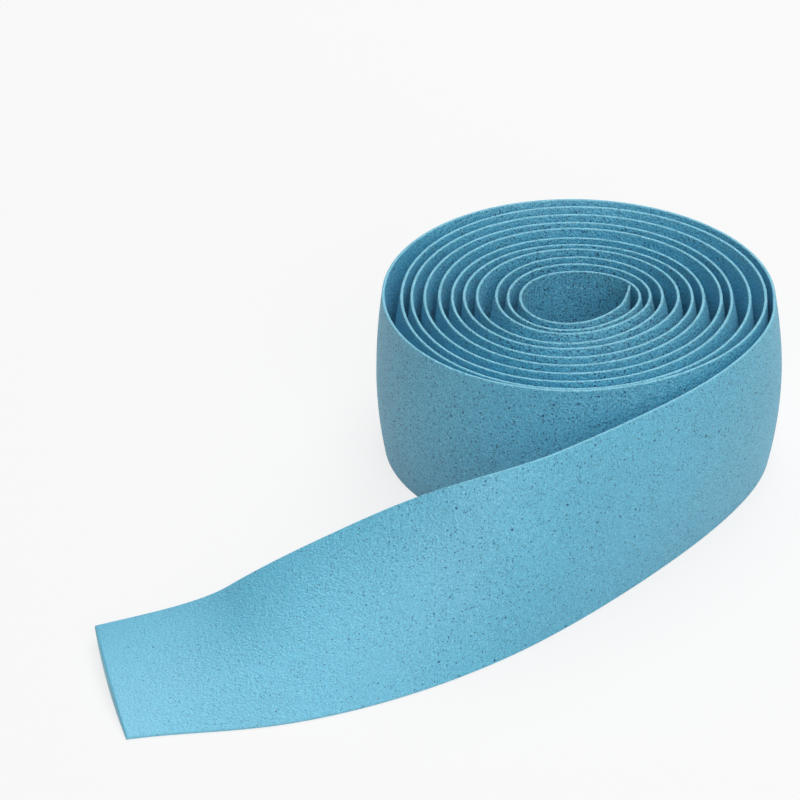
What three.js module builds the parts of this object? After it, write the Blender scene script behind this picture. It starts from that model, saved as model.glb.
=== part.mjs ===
import * as THREE from 'three';

// A roll of foam handlebar tape standing on its lower rim. The tape is one strip, wound clockwise as seen
// from above; its outer end is pulled out as a tail that leaves on the right and falls over backwards at the
// front. Millimetres, +Z up, the front is -Y. Angles run clockwise from +X and keep counting over the turns.

// The strip as it is cut: flat back, bulging outer face, thin square rims
const TAPE_WIDTH = 30;
const MIDDLE_THICKNESS = 2.0;
const RIM_THICKNESS = 0.5;

// The winding. The core radius is taken to the back face, at half height, where the first turn passes +X.
const CORE_RADIUS = 8.1;
const TURNS = 11;
const TURN_SLACK = 0.37;
const INNER_OVERLAP = THREE.MathUtils.degToRad(27);
// The outermost turn runs this much looser on the left.
const OUTER_TURN_LOOSE = 0.5;

// The thin rims wander more than the thick middle. For each turn from the inside out, this is how many times
// RIM_WANDER the upper rim stands outside the regular winding on the right, at the front, on the left and at
// the back.
const RIM_WANDER = 1;
const UPPER_RIM_STANDS_OUT = [
  [-0.1, 0.5, 0.6, -1.0],
  [0.0, 0.5, 0.4, -0.6],
  [-0.6, -0.6, 0.1, -0.4],
  [-0.8, 0.4, 1.1, 0.2],
  [-0.4, -0.1, 1.0, -0.5],
  [-0.3, 0.6, 0.7, -0.3],
  [-0.7, 0.9, 0.6, 1.0],
  [0.0, 1.3, 0.8, 0.9],
  [-0.5, 1.7, 0.7, 1.6],
  [0.3, 1.8, 0.1, 2.3],
  [0.7, -0.2, 1.0, 2.7],
  [-0.2],
];
// Between those four sides every turn is drawn in at the front right and pushed out at the front left.
const DRAWN_IN = 0.5;
const DRAWN_IN_RIGHT = 0.25;
const DRAWN_IN_FRONT = 0.5;
// A rim that would cut into the turn inside it rests against that turn instead, this far off.
const RIM_GAP = 0.1;
// The lower rim does the same, but the floor holds it to this share.
const LOWER_RIM_SHARE = 0.1;
// The inner end springs outwards at its rims.
const INNER_KICK = 1.6;
const INNER_KICK_REACH = THREE.MathUtils.degToRad(30);

// The tail. Its lower rim runs along the floor and bends towards the roll, while the tape leans back. Both
// rates are given as radians over the whole tail, at even distances from where it leaves the roll.
const TAIL_LENGTH = 150;
const TAIL_BEND = [5.5, 1.51, 0.56, 0.58, 1.36, 1.37, 2.35, -2.77];
const TAIL_LEAN = [0, 0.26, 0.81, 0.95, 3.71, 2.21, 2.08, 1.03];
const RIM_SETTLE_LENGTH = 40;
const END_BOW = 0.5;

// Fineness of the solid
const STEPS_PER_TURN = 40;
const TAIL_STEPS = 38;
const STEPS_ACROSS = 4;

const FOAM_BLUE = 0x6fb1cf;

const TURN_PITCH = MIDDLE_THICKNESS + TURN_SLACK;
const START_ANGLE = -INNER_OVERLAP;
const END_ANGLE = TURNS * 2 * Math.PI;

const measuredRim = new THREE.SplineCurve(
  UPPER_RIM_STANDS_OUT.flat().map((out, quarter) => new THREE.Vector2(quarter, out)),
);

// How far the upper rim stands out at an angle of the winding
function rimOffset(angle) {
  const quarters = angle / (Math.PI / 2);
  const along = THREE.MathUtils.clamp(quarters / (measuredRim.points.length - 1), 0, 1);
  const drawnIn = DRAWN_IN + DRAWN_IN_RIGHT * Math.cos(angle) + DRAWN_IN_FRONT * Math.sin(angle);
  const kickLeft = Math.max(0, 1 - (angle - START_ANGLE) / INNER_KICK_REACH);
  const measured = RIM_WANDER * measuredRim.getPoint(along).y;
  const free = measured - drawnIn * Math.sin(2 * angle) + INNER_KICK * kickLeft ** 2;
  const angleInside = angle - 2 * Math.PI;
  if (angleInside < START_ANGLE) return free;
  return Math.max(free, rimOffset(angleInside) + RIM_THICKNESS + RIM_GAP - TURN_PITCH);
}

// How much looser the winding runs at an angle
function looseness(angle) {
  const fromLeft = angle - (END_ANGLE - Math.PI);
  return Math.abs(fromLeft) < Math.PI / 2 ? OUTER_TURN_LOOSE * Math.cos(fromLeft) ** 2 : 0;
}

// A station of the winding: the middle of the back face, the directions along the tape and across it, and how
// far the upper rim stands out from there
function windingStation(angle) {
  const loose = looseness(angle);
  const growth = TURN_PITCH / (2 * Math.PI);
  const radius = CORE_RADIUS + growth * angle + loose;
  const place = new THREE.Vector3(radius * Math.cos(angle), -radius * Math.sin(angle), TAPE_WIDTH / 2);
  const along = new THREE.Vector3(
    growth * Math.cos(angle) - radius * Math.sin(angle),
    -growth * Math.sin(angle) - radius * Math.cos(angle),
    0,
  ).normalize();
  return { place, along, across: new THREE.Vector3(0, 0, 1), rim: rimOffset(angle) - loose };
}

// The value at a share of the way through a list of evenly spaced ones
function atShare(list, share) {
  const exact = share * (list.length - 1);
  const low = Math.min(Math.floor(exact), list.length - 2);
  return THREE.MathUtils.lerp(list[low], list[low + 1], exact - low);
}

// The tail, step by step: the heading of its lower rim follows from the bend, and its lean from the lean rate
function tailStations(start) {
  const stations = [];
  const step = TAIL_LENGTH / TAIL_STEPS;
  const foot = start.place.clone().setZ(0);
  let last = start.along;
  let heading = Math.atan2(-last.x, -last.y);
  let lean = 0;
  for (let i = 1; i <= TAIL_STEPS; i += 1) {
    const middle = (i - 0.5) / TAIL_STEPS;
    heading += atShare(TAIL_BEND, middle) / TAIL_STEPS;
    lean += atShare(TAIL_LEAN, middle) / TAIL_STEPS;
    const along = new THREE.Vector3(-Math.sin(heading), -Math.cos(heading), 0);
    foot.addScaledVector(last, step / 2).addScaledVector(along, step / 2);
    const inward = new THREE.Vector3(along.y, -along.x, 0);
    const across = inward.multiplyScalar(Math.sin(lean)).setZ(Math.cos(lean));
    const place = foot.clone().addScaledVector(across, TAPE_WIDTH / 2);
    const unsettled = Math.max(0, 1 - i * step / RIM_SETTLE_LENGTH);
    stations.push({ place, along, across, rim: start.rim * unsettled ** 2 });
    last = along;
  }
  return stations;
}

// The outline of the tape at a station: up the back face, then down the outer face. A bow moves the middle on
// along the tape, as at a cut end that isn't quite straight.
function outline({ place, along, across, rim }, bow = 0) {
  const out = across.clone().cross(along);
  const back = [];
  const front = [];
  for (let i = 0; i <= STEPS_ACROSS; i += 1) {
    const share = 2 * i / STEPS_ACROSS - 1;
    const curl = rim * share ** 2 * (share > 0 ? 1 : LOWER_RIM_SHARE);
    const thickness = RIM_THICKNESS + (MIDDLE_THICKNESS - RIM_THICKNESS) * (1 - share ** 2);
    const middle = place.clone().addScaledVector(across, share * TAPE_WIDTH / 2);
    middle.addScaledVector(along, bow * (1 - share ** 2));
    back.push(middle.clone().addScaledVector(out, curl));
    front.unshift(middle.clone().addScaledVector(out, curl + thickness));
  }
  return [...back, ...front];
}

// Skin over the outlines, closed by a cap at each end
function skin(outlines) {
  const ring = outlines[0].length;
  const faces = [];
  const quad = (a, b, c, d) => faces.push(a, b, c, a, c, d);
  for (let s = 0; s < outlines.length - 1; s += 1) {
    for (let i = 0; i < ring; i += 1) {
      const next = (i + 1) % ring;
      quad(s * ring + i, (s + 1) * ring + i, (s + 1) * ring + next, s * ring + next);
    }
  }
  const end = (outlines.length - 1) * ring;
  for (let i = 0; i < STEPS_ACROSS; i += 1) {
    quad(i, i + 1, ring - 2 - i, ring - 1 - i);
    quad(end + i, end + ring - 1 - i, end + ring - 2 - i, end + i + 1);
  }
  const geometry = new THREE.BufferGeometry().setFromPoints(outlines.flat());
  geometry.setIndex(faces);
  geometry.computeVertexNormals();
  return geometry;
}

const angleStep = 2 * Math.PI / STEPS_PER_TURN;
const winding = [];
for (let angle = START_ANGLE; angle < END_ANGLE - angleStep / 2; angle += angleStep) {
  winding.push(windingStation(angle));
}
winding.push(windingStation(END_ANGLE));
const tail = tailStations(winding.at(-1));
const outlines = winding.map((station) => outline(station));
tail.forEach((station, i) => outlines.push(outline(station, i === tail.length - 1 ? END_BOW : 0)));

// The whole length of the lower rim rests on the floor
for (const points of outlines) {
  const lowest = Math.min(...points.map((point) => point.z));
  points.forEach((point) => point.setZ(point.z - lowest));
}

const geometry = skin(outlines);
geometry.computeBoundingBox();
const centre = geometry.boundingBox.getCenter(new THREE.Vector3());
geometry.translate(-centre.x, -centre.y, 0);

const foam = new THREE.MeshStandardMaterial({ color: FOAM_BLUE, roughness: 0.9, metalness: 0 });
const strip = new THREE.Mesh(geometry, foam);
strip.name = 'tape_strip';

const tapeRoll = new THREE.Group();
tapeRoll.name = 'handlebar_tape_roll';
tapeRoll.add(strip);
export default tapeRoll;
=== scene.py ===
import bpy
import numpy as np
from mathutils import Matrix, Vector


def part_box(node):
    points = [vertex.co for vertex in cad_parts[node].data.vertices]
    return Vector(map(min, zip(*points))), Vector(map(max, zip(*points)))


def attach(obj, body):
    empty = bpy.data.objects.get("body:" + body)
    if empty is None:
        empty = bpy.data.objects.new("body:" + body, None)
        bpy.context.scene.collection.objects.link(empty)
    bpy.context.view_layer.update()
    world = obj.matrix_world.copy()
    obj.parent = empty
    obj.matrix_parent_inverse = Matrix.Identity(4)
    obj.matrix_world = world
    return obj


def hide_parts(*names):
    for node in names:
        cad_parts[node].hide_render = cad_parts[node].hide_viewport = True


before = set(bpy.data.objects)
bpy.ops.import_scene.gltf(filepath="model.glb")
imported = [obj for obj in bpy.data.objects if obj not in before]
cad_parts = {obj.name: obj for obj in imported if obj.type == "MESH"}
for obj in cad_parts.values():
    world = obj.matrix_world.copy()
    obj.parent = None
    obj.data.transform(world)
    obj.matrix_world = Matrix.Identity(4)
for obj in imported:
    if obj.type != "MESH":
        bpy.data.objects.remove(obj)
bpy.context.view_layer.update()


# The tape strip.
# One strip of closed-cell foam, moulded with a flat back and a bulging outer face, and slit to width, so
# that both rims are cut edges. It is wound clockwise on itself, and its outer end is pulled out and falls
# over backwards.

MM = 0.001
TAPE_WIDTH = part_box("tape_strip")[1][2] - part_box("tape_strip")[0][2]
MIDDLE_THICKNESS = 2.0 * MM
RIM_THICKNESS = 0.5 * MM
RIM_CHAMFER = 0.1 * MM

CORE_RADIUS = 8.1 * MM
TURNS = 11
TURN_PITCH = MIDDLE_THICKNESS + 0.37 * MM
START_ANGLE = -np.radians(27)
END_ANGLE = TURNS * 2 * np.pi
OUTER_TURN_LOOSE = 0.5 * MM

# How far each turn's upper rim stands outside the regular winding on the right, at the front, on the left
# and at the back, in millimetres, from the inside out
UPPER_RIM_STANDS_OUT = [
    [-0.1, 0.5, 0.6, -1.0],
    [0.0, 0.5, 0.4, -0.6],
    [-0.6, -0.6, 0.1, -0.4],
    [-0.8, 0.4, 1.1, 0.2],
    [-0.4, -0.1, 1.0, -0.5],
    [-0.3, 0.6, 0.7, -0.3],
    [-0.7, 0.9, 0.6, 1.0],
    [0.0, 1.3, 0.8, 0.9],
    [-0.5, 1.7, 0.7, 1.6],
    [0.3, 1.8, 0.1, 2.3],
    [0.7, -0.2, 1.0, 2.7],
    [-0.2],
]
DRAWN_IN = 0.5 * MM
DRAWN_IN_RIGHT = 0.25 * MM
DRAWN_IN_FRONT = 0.5 * MM
RIM_GAP = 0.1 * MM
LOWER_RIM_SHARE = 0.1
INNER_KICK = 1.6 * MM
INNER_KICK_REACH = np.radians(30)

# The bend and the lean of the tail are radians over its whole length, at even distances along it
TAIL_LENGTH = 150 * MM
TAIL_BEND = [5.5, 1.51, 0.56, 0.58, 1.36, 1.37, 2.35, -2.77]
TAIL_LEAN = [0, 0.26, 0.81, 0.95, 3.71, 2.21, 2.08, 1.03]
RIM_SETTLE_LENGTH = 40 * MM
END_BOW = 0.5 * MM
END_BOW_REACH = 12 * MM


def smooth_through(values, position):
    """Catmull-Rom: between two values, the cubic that leaves each with half the rise from its neighbour
    before to its neighbour after. Past the ends the last value holds."""
    position = np.clip(position, 0, len(values) - 1)
    left = np.minimum(position.astype(int), len(values) - 2)
    t = position - left
    before, here = values[np.maximum(left - 1, 0)], values[left]
    there, after = values[left + 1], values[np.minimum(left + 2, len(values) - 1)]
    rise_here, rise_there = (there - before) / 2, (after - here) / 2
    cubic = 2 * (here - there) + rise_here + rise_there
    square = 3 * (there - here) - 2 * rise_here - rise_there
    return ((cubic * t + square) * t + rise_here) * t + here


def upper_rim(angle):
    """How far the upper rim stands out: the four sides' values, drawn in or pushed out between them by the
    sine of twice the angle, plus the kick at the inner end, and never closer than a small gap to the turn
    inside it."""
    quarter_values = np.array([out for turn in UPPER_RIM_STANDS_OUT for out in turn]) * MM

    def free(angle):
        drawn_in = DRAWN_IN + DRAWN_IN_RIGHT * np.cos(angle) + DRAWN_IN_FRONT * np.sin(angle)
        kick = INNER_KICK * np.maximum(0, 1 - (angle - START_ANGLE) / INNER_KICK_REACH) ** 2
        return smooth_through(quarter_values, angle / (np.pi / 2)) - drawn_in * np.sin(2 * angle) + kick

    resting = [free(angle)]
    for turns_inside in range(1, TURNS + 1):
        inner = angle - turns_inside * 2 * np.pi
        carried = free(inner) + turns_inside * (RIM_THICKNESS + RIM_GAP - TURN_PITCH)
        resting.append(np.where(inner >= START_ANGLE, carried, -TURN_PITCH))
    return np.max(resting, axis=0)


def winding(angle):
    """An Archimedean spiral at half height: the radius grows by one pitch a turn, and the outermost turn
    runs looser on the left by the square of the cosine of the angle from there. Returns each station's
    place, the direction along the tape, the direction across it, and how far its upper rim stands out."""
    growth = TURN_PITCH / (2 * np.pi)
    from_left = angle - (END_ANGLE - np.pi)
    loose = np.where(np.abs(from_left) < np.pi / 2, OUTER_TURN_LOOSE * np.cos(from_left) ** 2, 0)
    radius = CORE_RADIUS + growth * angle + loose
    level = np.full_like(angle, TAPE_WIDTH / 2)
    place = np.stack([radius * np.cos(angle), -radius * np.sin(angle), level], axis=1)
    along_x = growth * np.cos(angle) - radius * np.sin(angle)
    along_y = -growth * np.sin(angle) - radius * np.cos(angle)
    along = np.stack([along_x, along_y, 0 * angle], axis=1)
    along /= np.linalg.norm(along, axis=1, keepdims=True)
    across = np.tile([0.0, 0.0, 1.0], (len(angle), 1))
    return place, along, across, upper_rim(angle) - loose


def pulled_out(start_place, start_along, start_rim, distance):
    """The tail. Its lower rim runs along the floor, and the heading and the lean are the sums of the bend
    and the lean rate up to each station. The tape rises from the lower rim by the cosine of the lean and
    falls inwards by its sine. Its rims settle with the square of the distance that is left to settle in."""
    passed = np.diff(distance, prepend=0)
    middle = (distance - passed / 2) / TAIL_LENGTH
    evenly = np.linspace(0, 1, len(TAIL_BEND))
    heading = np.arctan2(-start_along[0], -start_along[1])
    heading = heading + np.cumsum(np.interp(middle, evenly, TAIL_BEND) * passed / TAIL_LENGTH)
    lean = np.cumsum(np.interp(middle, evenly, TAIL_LEAN) * passed / TAIL_LENGTH)
    along = np.stack([-np.sin(heading), -np.cos(heading), 0 * heading], axis=1)
    before = np.vstack([start_along, along[:-1]])
    foot = start_place * [1, 1, 0] + np.cumsum((before + along) / 2 * passed[:, None], axis=0)
    inward = np.stack([along[:, 1], -along[:, 0], 0 * heading], axis=1)
    across = inward * np.sin(lean)[:, None] + np.array([0, 0, 1]) * np.cos(lean)[:, None]
    settled = np.maximum(0, 1 - distance / RIM_SETTLE_LENGTH) ** 2
    return foot + across * TAPE_WIDTH / 2, along, across, start_rim * settled


STEPS_PER_TURN = 112
TAIL_STEPS = 230
STEPS_ACROSS = 18
END_CHAMFER = 0.1 * MM

# Stations along the tape, with a few close together at both ends for the chamfered cut
beside_cut = np.array([0, 1, 3]) * END_CHAMFER
winding_steps = int(STEPS_PER_TURN * (END_ANGLE - START_ANGLE) / (2 * np.pi))
even_angles = np.linspace(START_ANGLE, END_ANGLE, winding_steps)[1:]
winding_angle = np.concatenate([START_ANGLE + beside_cut / CORE_RADIUS, even_angles])
wound = winding(winding_angle)
even_distances = np.linspace(0, TAIL_LENGTH, TAIL_STEPS)[1:-1]
tail_distance = np.concatenate([even_distances, TAIL_LENGTH - beside_cut[::-1]])
tail = pulled_out(wound[0][-1], wound[1][-1], wound[3][-1], tail_distance)
place, along, across, rim = [np.concatenate(columns) for columns in zip(wound, tail)]
stations = len(place)

# How tightly the tape is bent: 1 at the inner end, less with every turn, and along the tail less with the
# square root of the distance that is left, to 0 at its end
BENT_WHERE_IT_LEAVES = 0.6
unwound = (winding_angle - START_ANGLE) / (END_ANGLE - START_ANGLE)
bent_in_roll = 1 - (1 - BENT_WHERE_IT_LEAVES) * unwound
bent_in_tail = BENT_WHERE_IT_LEAVES * np.sqrt(1 - tail_distance / TAIL_LENGTH)
bent = np.concatenate([bent_in_roll, bent_in_tail])

# The outline across the tape, in order round it: up the flat back, over the upper rim, down the outer face
# and round the lower rim. Each point has its distance across from the middle, its depth out from the back,
# the way that the chamfer at the ends draws it in, and how far it lies on a cut face.
CUT_BESIDE_RIM = 0.6
# At both cut ends of the tape the mark is doubled. This paints the end faces paler still, a painted highlight
# over their shade.
PAINTED_LIGHT_AT_CUT_ENDS = 2
half = TAPE_WIDTH / 2
beside_rim = half - RIM_CHAMFER * np.array([1, 2.2])
even_across = half * np.linspace(-1, 1, STEPS_ACROSS + 1)[1:-1]
face_across = np.concatenate([-beside_rim, even_across, beside_rim[::-1]])
face_points = len(face_across)
bulge = RIM_THICKNESS + (MIDDLE_THICKNESS - RIM_THICKNESS) * (1 - (face_across / half) ** 2)
rim_depth = np.array([RIM_CHAMFER, RIM_THICKNESS / 2, RIM_THICKNESS - RIM_CHAMFER])
rim_points = len(rim_depth)
upper, lower = np.full(rim_points, half), np.full(rim_points, -half)
outline_across = np.concatenate([face_across, upper, face_across[::-1], lower])
outline_depth = np.concatenate([0 * face_across, rim_depth, bulge, rim_depth[::-1]])
faces_in, rims_still = np.ones(face_points), np.zeros(rim_points)
drawn_in = np.concatenate([faces_in, rims_still, -faces_in, rims_still])
face_cut = np.zeros(face_points)
face_cut[[0, -1]] = CUT_BESIDE_RIM
outline_cut = np.concatenate([face_cut, np.ones(rim_points), face_cut, np.ones(rim_points)])
ring = len(outline_across)

# The outline at every station: its rims curl out with the square of the distance from the middle, its ends
# are chamfered, and the tail's cut end bows. Its lowest point stands on the floor.
share = outline_across / half
curl = rim[:, None] * share**2 * np.where(share > 0, 1, LOWER_RIM_SHARE)
out = np.cross(across, along)
at_end = np.zeros(stations)
at_end[[0, -1]] = END_CHAMFER
spread = outline_across * (1 - at_end / half)[:, None]
depth = outline_depth + curl + drawn_in * at_end[:, None]
from_end = TAIL_LENGTH - np.concatenate([np.zeros(len(wound[0])), tail_distance])
bow = END_BOW * np.clip(1 - from_end / END_BOW_REACH, 0, 1)[:, None] * (1 - share**2)
vertices = (
    place[:, None]
    + across[:, None] * spread[..., None]
    + out[:, None] * depth[..., None]
    + along[:, None] * bow[..., None]
)
vertices[..., 2] -= vertices[..., 2].min(axis=1, keepdims=True)
low, high = vertices.min(axis=(0, 1)), vertices.max(axis=(0, 1))
vertices[..., :2] -= (low[:2] + high[:2]) / 2


def loft_faces(stations, face_points, rim_points):
    """Quads between each outline and the next, and between the back and the outer face at both ends. Each
    rim's end is closed by one face, over the rim's points and the last point of both faces."""
    ring = 2 * (face_points + rim_points)
    index = np.arange(stations * ring).reshape(stations, ring)
    here, there = index[:-1], index[1:]
    skin = np.stack([here, there, np.roll(there, -1, axis=1), np.roll(here, -1, axis=1)], axis=-1)
    back = np.arange(face_points)
    front = face_points + rim_points + np.arange(face_points)[::-1]
    caps = np.stack([back[:-1], back[1:], front[1:], front[:-1]], axis=-1)
    upper = list(range(face_points - 1, face_points + rim_points + 1))
    lower = list(range(ring - rim_points - 1, ring)) + [0]
    end = index[-1]
    faces = skin.reshape(-1, 4).tolist() + caps.tolist() + end[caps[:, ::-1]].tolist()
    return faces + [upper, lower, end[upper[::-1]].tolist(), end[lower[::-1]].tolist()]


tape_mesh = bpy.data.meshes.new("tape_strip_fine")
tape_mesh.from_pydata(vertices.reshape(-1, 3), [], loft_faces(stations, face_points, rim_points))
cut_points = np.tile(outline_cut, (stations, 1))
# The doubled mark at both ends is a painted highlight over the end faces' shade.
cut_points[[0, -1]] = PAINTED_LIGHT_AT_CUT_ENDS
tape_mesh.attributes.new("cut", "FLOAT", "POINT").data.foreach_set("value", cut_points.ravel())
tape_mesh.attributes.new("bent", "FLOAT", "POINT").data.foreach_set("value", np.repeat(bent, ring))
tape_mesh.polygons.foreach_set("use_smooth", np.ones(len(tape_mesh.polygons), dtype=bool))
tape = bpy.data.objects.new("tape_strip_fine", tape_mesh)
bpy.context.scene.collection.objects.link(tape)

# The foam is dyed through: sky blue, with the fine grain of its cells and many pores that the skin leaves
# open.
# The pores' dark colour is painted shade inside the pits. The cut faces are paler and have no pores, partly
# their own colour and partly a painted highlight where the rims catch the light. The dimples' hollows are
# painted darker as shade. The more the tape is bent, the more its pores open and the more its grain's colour
# stands out, partly as painted shading of the relief.

FOAM_BLUE = (0.078, 0.540, 0.790, 1)
FOAM_PALE = (0.270, 0.770, 0.930, 1)
FOAM_DEEP = (0.0, 0.180, 0.340, 1)
# The pores' colour is painted shade, the dark inside of the open pits.
PORE_SHADE_BLUE = (0.0, 0.090, 0.230, 1)

# The skin's broad gloss lays a pale veil over the dye
FOAM_IOR = 1.65
FOAM_GLOSS = 1.0
FOAM_SHEEN = 0.04
SKIN_SMOOTHEST = 0.50
SKIN_ROUGHEST = 0.60

# The most that each of these takes the dye towards the pale or the deep colour
# Cut faces are paler, partly their own unskinned foam and partly a painted highlight where the rims catch the
# light.
CUT_PALE_AND_PAINTED_LIGHT = 0.40
GRAIN_LIGHTENS = 0.80
GRAIN_DARKENS = 0.46
# Painted shade: the dimples' low places, the hollows of the relief, are taken towards the deep colour.
DIMPLE_HOLLOWS_SHADED = 0.16
CLOUDS_DARKEN = 0.08

# Factors where the tape lies flat and where it is bent tightest
PORES_OPEN = (0.47, 1.15)
# The grain's colour contrast grows towards the inner turns, partly as painted shading of the relief on the
# shaded walls.
GRAIN_AND_RELIEF_SHADE_SHOW = (0.5, 2.0)
RELIEF_SHOWS = (0.3, 2.0)

# The relief: how deep it is, and how high the dimples stand beside the depth of a pore
RELIEF_DEPTH = 0.12 * MM
DIMPLE_HEIGHT = 2.0

# A pore's smallest size as a share of the largest, and the shares of its radius between which it fades out
SMALLEST_PORE = 0.5
PORE_INNER_EDGE = 0.75
PORE_OUTER_EDGE = 1.05

foam = bpy.data.materials.new("dyed_foam")
foam.use_nodes = True
nodes, links = foam.node_tree.nodes, foam.node_tree.links
shader = nodes["Principled BSDF"]
shader.distribution = "GGX"
place_on = nodes.new("ShaderNodeTexCoord").outputs["Object"]


def noise(size_mm, detail, name):
    """Smooth noise from 0 to 1 whose features are about as large as the size given."""
    node = nodes.new("ShaderNodeTexNoise")
    node.label = name
    node.inputs["Scale"].default_value = 1 / (size_mm * MM)
    node.inputs["Detail"].default_value = detail
    links.new(place_on, node.inputs["Vector"])
    return node.outputs["Fac"]


def marked(name):
    """A value that the mesh holds at each of its points."""
    node = nodes.new("ShaderNodeAttribute")
    node.attribute_name = name
    return node.outputs["Fac"]


def ramp(value, low, high, low_to=0.0, high_to=1.0):
    """A soft step: the one result up to the low value, the other from the high value on, an S-curve
    between."""
    node = nodes.new("ShaderNodeMapRange")
    node.interpolation_type = "SMOOTHSTEP"
    for name, number in {"From Min": low, "From Max": high, "To Min": low_to, "To Max": high_to}.items():
        node.inputs[name].default_value = number
    links.new(value, node.inputs["Value"])
    return node.outputs["Result"]


def combined(a, b, operation):
    """Two values put together by one sum, product, quotient or the like."""
    node = nodes.new("ShaderNodeMath")
    node.operation = operation
    for value, socket in zip((a, b), node.inputs):
        if isinstance(value, float):
            socket.default_value = value
        else:
            links.new(value, socket)
    return node.outputs["Value"]


def blended(mask, first, second):
    """The first colour where the mask is 0, the second where it is 1, and their straight mixture
    between."""
    node = nodes.new("ShaderNodeMix")
    node.data_type = "RGBA"
    links.new(mask, node.inputs["Factor"])
    sockets = [socket for socket in node.inputs if socket.type == "RGBA"]
    for colour, socket in zip((first, second), sockets):
        if isinstance(colour, tuple):
            socket.default_value = colour
        else:
            links.new(colour, socket)
    return next(socket for socket in node.outputs if socket.type == "RGBA")


on_cut = marked("cut")
bent_here = marked("bent")


def by_bend(factors):
    """A factor that goes evenly from the first where the tape lies flat to the second where it is bent
    tightest."""
    node = nodes.new("ShaderNodeMapRange")
    node.inputs["To Min"].default_value, node.inputs["To Max"].default_value = factors
    links.new(bent_here, node.inputs["Value"])
    return node.outputs["Result"]


def pores(spacing_mm, radius_mm, name):
    """Round pits, one to each cell of a random division of space: 1 inside a pit, 0 outside. A pit's radius
    is the given one times its cell's own random share and the bend's, and the surface cuts only those pits
    that it passes through."""
    node = nodes.new("ShaderNodeTexVoronoi")
    node.label = name
    node.inputs["Scale"].default_value = 1 / (spacing_mm * MM)
    links.new(place_on, node.inputs["Vector"])
    apart = nodes.new("ShaderNodeSeparateColor")
    links.new(node.outputs["Color"], apart.inputs["Color"])
    reach = radius_mm / spacing_mm
    own_radius = ramp(apart.outputs["Red"], 0.0, 1.0, SMALLEST_PORE * reach, reach)
    radius = combined(own_radius, by_bend(PORES_OPEN), "MULTIPLY")
    filled = combined(node.outputs["Distance"], radius, "DIVIDE")
    return ramp(filled, PORE_INNER_EDGE, PORE_OUTER_EDGE, 1.0, 0.0)


grain = noise(0.20, 2, "grain")
dimples = noise(0.42, 2, "dimples")
clouds = noise(14.0, 1, "uneven dye")
fine_pores = pores(0.50, 0.14, "fine pores")
middle_pores = pores(0.72, 0.19, "middle pores")
large_pores = pores(2.3, 0.30, "large pores")
open_pores = combined(combined(fine_pores, middle_pores, "MAXIMUM"), large_pores, "MAXIMUM")

# The cut faces taken towards the pale colour: partly their own colour, partly a painted highlight.
cut_pale_and_painted_lit = blended(combined(on_cut, CUT_PALE_AND_PAINTED_LIGHT, "MULTIPLY"), FOAM_BLUE, FOAM_PALE)
clouded = blended(ramp(clouds, 0.35, 0.65, 0.0, CLOUDS_DARKEN), cut_pale_and_painted_lit, FOAM_DEEP)
# The grain's colour is drawn stronger where the tape is bent, partly as painted shading of the relief.
grain_and_relief_shade = by_bend(GRAIN_AND_RELIEF_SHADE_SHOW)
light_grain = combined(ramp(grain, 0.48, 0.72, 0.0, GRAIN_LIGHTENS), grain_and_relief_shade, "MULTIPLY")
dark_grain = combined(ramp(grain, 0.28, 0.52, GRAIN_DARKENS, 0.0), grain_and_relief_shade, "MULTIPLY")
lightened = blended(light_grain, clouded, FOAM_PALE)
grained = blended(dark_grain, lightened, FOAM_DEEP)
# The dimples' hollows are painted darker, as shade in the relief.
dimple_hollows_shaded = blended(ramp(dimples, 0.30, 0.55, DIMPLE_HOLLOWS_SHADED, 0.0), grained, FOAM_DEEP)
# The open pores are painted dark, as the shade inside the pits.
pores_in_face = combined(open_pores, on_cut, "SUBTRACT")
pores_shaded = blended(pores_in_face, dimple_hollows_shaded, PORE_SHADE_BLUE)
links.new(pores_shaded, shader.inputs["Base Color"])
rough = combined(ramp(grain, 0.3, 0.7, SKIN_SMOOTHEST, SKIN_ROUGHEST), open_pores, "MAXIMUM")
links.new(rough, shader.inputs["Roughness"])
shader.inputs["IOR"].default_value = FOAM_IOR
shader.inputs["Specular IOR Level"].default_value = FOAM_GLOSS
shader.inputs["Sheen Weight"].default_value = FOAM_SHEEN

pitted = combined(combined(dimples, DIMPLE_HEIGHT, "MULTIPLY"), open_pores, "SUBTRACT")
height = combined(pitted, by_bend(RELIEF_SHOWS), "MULTIPLY")
bump = nodes.new("ShaderNodeBump")
bump.inputs["Strength"].default_value = 1.0
bump.inputs["Distance"].default_value = RELIEF_DEPTH
links.new(height, bump.inputs["Height"])
links.new(bump.outputs["Normal"], shader.inputs["Normal"])

tape_mesh.materials.append(foam)
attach(tape, "root")
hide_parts("tape_strip")


# The surface that the roll stands on.
# A plain white sheet, wide enough to fill the view. The camera sees it partly as evenly lit paper, and so
# does the foam's gloss. That takes the grey out of it and leaves the roll's shadow.

FLOOR_SIZE = 4.0
PAPER_WHITE = (0.9, 0.9, 0.9, 1)
PAPER_ROUGHNESS = 0.9
EVENLY_LIT = 0.78
EVENLY_MIRRORED = 0.7

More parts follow.
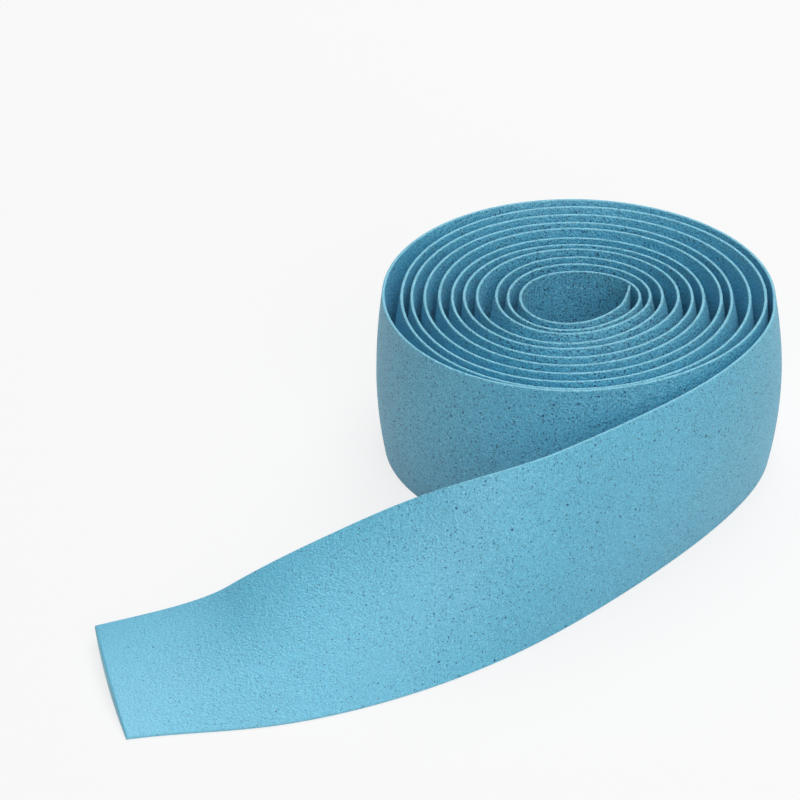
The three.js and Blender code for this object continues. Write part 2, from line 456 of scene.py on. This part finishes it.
corner = FLOOR_SIZE / 2
floor_mesh = bpy.data.meshes.new("floor")
floor_corners = [(-corner, -corner, 0), (corner, -corner, 0), (corner, corner, 0), (-corner, corner, 0)]
floor_mesh.from_pydata(floor_corners, [], [(0, 1, 2, 3)])
floor = bpy.data.objects.new("floor", floor_mesh)
bpy.context.scene.collection.objects.link(floor)
paper = bpy.data.materials.new("white_paper")
paper.use_nodes = True
nodes, links = paper.node_tree.nodes, paper.node_tree.links
shader = nodes["Principled BSDF"]
shader.inputs["Base Color"].default_value = PAPER_WHITE
shader.inputs["Roughness"].default_value = PAPER_ROUGHNESS
shader.inputs["Specular IOR Level"].default_value = 0.0
evenly_lit = nodes.new("ShaderNodeEmission")
rays = nodes.new("ShaderNodeLightPath")
mirrored = combined(rays.outputs["Is Glossy Ray"], EVENLY_MIRRORED, "MULTIPLY")
seen = nodes.new("ShaderNodeMath")
seen.operation = "MULTIPLY_ADD"
seen.inputs[1].default_value = EVENLY_LIT
links.new(rays.outputs["Is Camera Ray"], seen.inputs[0])
links.new(mirrored, seen.inputs[2])
mixed = nodes.new("ShaderNodeMixShader")
links.new(seen.outputs["Value"], mixed.inputs["Fac"])
links.new(shader.outputs["BSDF"], mixed.inputs[1])
links.new(evenly_lit.outputs["Emission"], mixed.inputs[2])
links.new(mixed.outputs["Shader"], nodes["Material Output"].inputs["Surface"])
floor_mesh.materials.append(paper)


# Studio light.
# Two large soft lamps, one high up behind and one in front and a little to the right. A white surround lights
# weakly, but the camera sees it as white, and the foam's gloss mirrors it nearly so.

LAMPS = {"high_behind": ((0.13, 0.48, 0.866), 6.8), "in_front": ((0.28, -0.725, 0.629), 5.1)}
LAMP_SIZE = 0.9
SURROUND_LIGHT = 0.08
SURROUND_MIRRORED = 0.7

for name, (location, power) in LAMPS.items():
    lamp = bpy.data.lights.new(name, "AREA")
    lamp.shape = "DISK"
    lamp.size = LAMP_SIZE
    lamp.energy = power
    stand = bpy.data.objects.new(name, lamp)
    stand.location = location
    stand.rotation_euler = (-stand.location).to_track_quat("-Z", "Y").to_euler()
    bpy.context.scene.collection.objects.link(stand)

surround = bpy.data.worlds.new("surround")
surround.use_nodes = True
nodes, links = surround.node_tree.nodes, surround.node_tree.links
rays = nodes.new("ShaderNodeLightPath")
shown = nodes.new("ShaderNodeMath")
shown.operation = "MULTIPLY_ADD"
shown.inputs[1].default_value = SURROUND_MIRRORED
links.new(rays.outputs["Is Glossy Ray"], shown.inputs[0])
links.new(rays.outputs["Is Camera Ray"], shown.inputs[2])
strength = nodes.new("ShaderNodeMapRange")
strength.inputs["To Min"].default_value = SURROUND_LIGHT
strength.inputs["To Max"].default_value = 1.0
links.new(shown.outputs["Value"], strength.inputs["Value"])
nodes["Background"].inputs["Color"].default_value = (1, 1, 1, 1)
links.new(strength.outputs["Result"], nodes["Background"].inputs["Strength"])
bpy.context.scene.world = surround
bpy.context.scene.view_settings.view_transform = "Standard"


# The camera.
# It looks down on the roll from 0.7 m at thirty degrees, with the roll at the upper right of its view.

LENS = 179.55
SENSOR_WIDTH = 36
CAMERA_PLACE = (0.02104, -0.58294, 0.36937)
LOOKS_AT = (-0.01087, 0.0427, 0)

camera_data = bpy.data.cameras.new("camera")
camera_data.lens = LENS
camera_data.sensor_width = SENSOR_WIDTH
camera = bpy.data.objects.new("camera", camera_data)
camera.location = CAMERA_PLACE
camera.rotation_euler = (Vector(LOOKS_AT) - camera.location).to_track_quat("-Z", "Y").to_euler()
bpy.context.scene.collection.objects.link(camera)
bpy.context.scene.camera = camera
